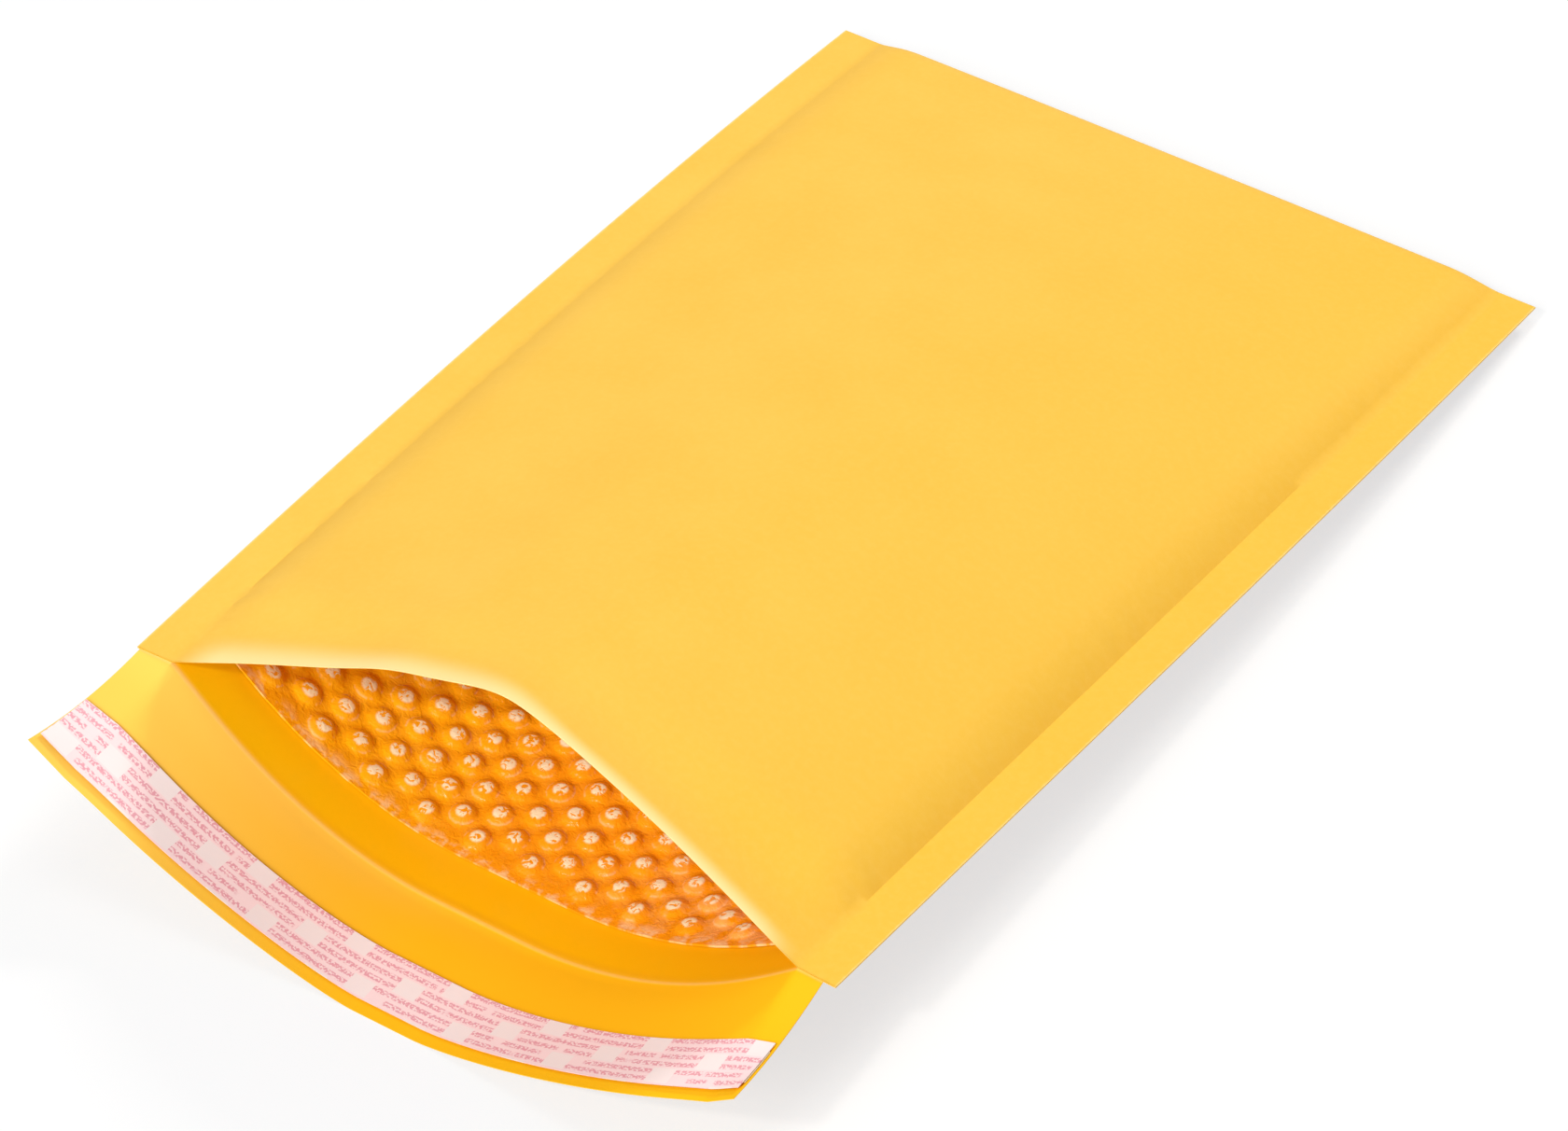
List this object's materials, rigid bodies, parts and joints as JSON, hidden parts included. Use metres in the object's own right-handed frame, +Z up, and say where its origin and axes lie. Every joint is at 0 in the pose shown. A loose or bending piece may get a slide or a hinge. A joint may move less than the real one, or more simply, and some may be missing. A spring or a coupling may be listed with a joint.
{
  "type": "padded envelope",
  "caption": "Golden kraft padded envelope lying open, with bubble film lining and a flap that carries a glue strip under a release liner.",
  "frame": {"origin": "middle of the footprint, on the surface that the envelope lies on", "axes": "+Z up, +X across the envelope from its left side seam to its right one, +Y from the mouth to the bottom fold"},
  "size_m": [0.241, 0.4118, 0.0781],
  "materials": {
    "kraft_envelope": "golden kraft, slightly glazed",
    "bubble_lining": "clear film over kraft, seen as deep orange",
    "adhesive_strip": "tacky hot melt",
    "release_liner": "coated paper, pale pink"
  },
  "bodies": {
    "root": {"kraft_envelope": "kraft_envelope", "bubble_lining": "bubble_lining", "adhesive_strip": "adhesive_strip", "release_liner": "release_liner"}
  },
  "joints": []
}
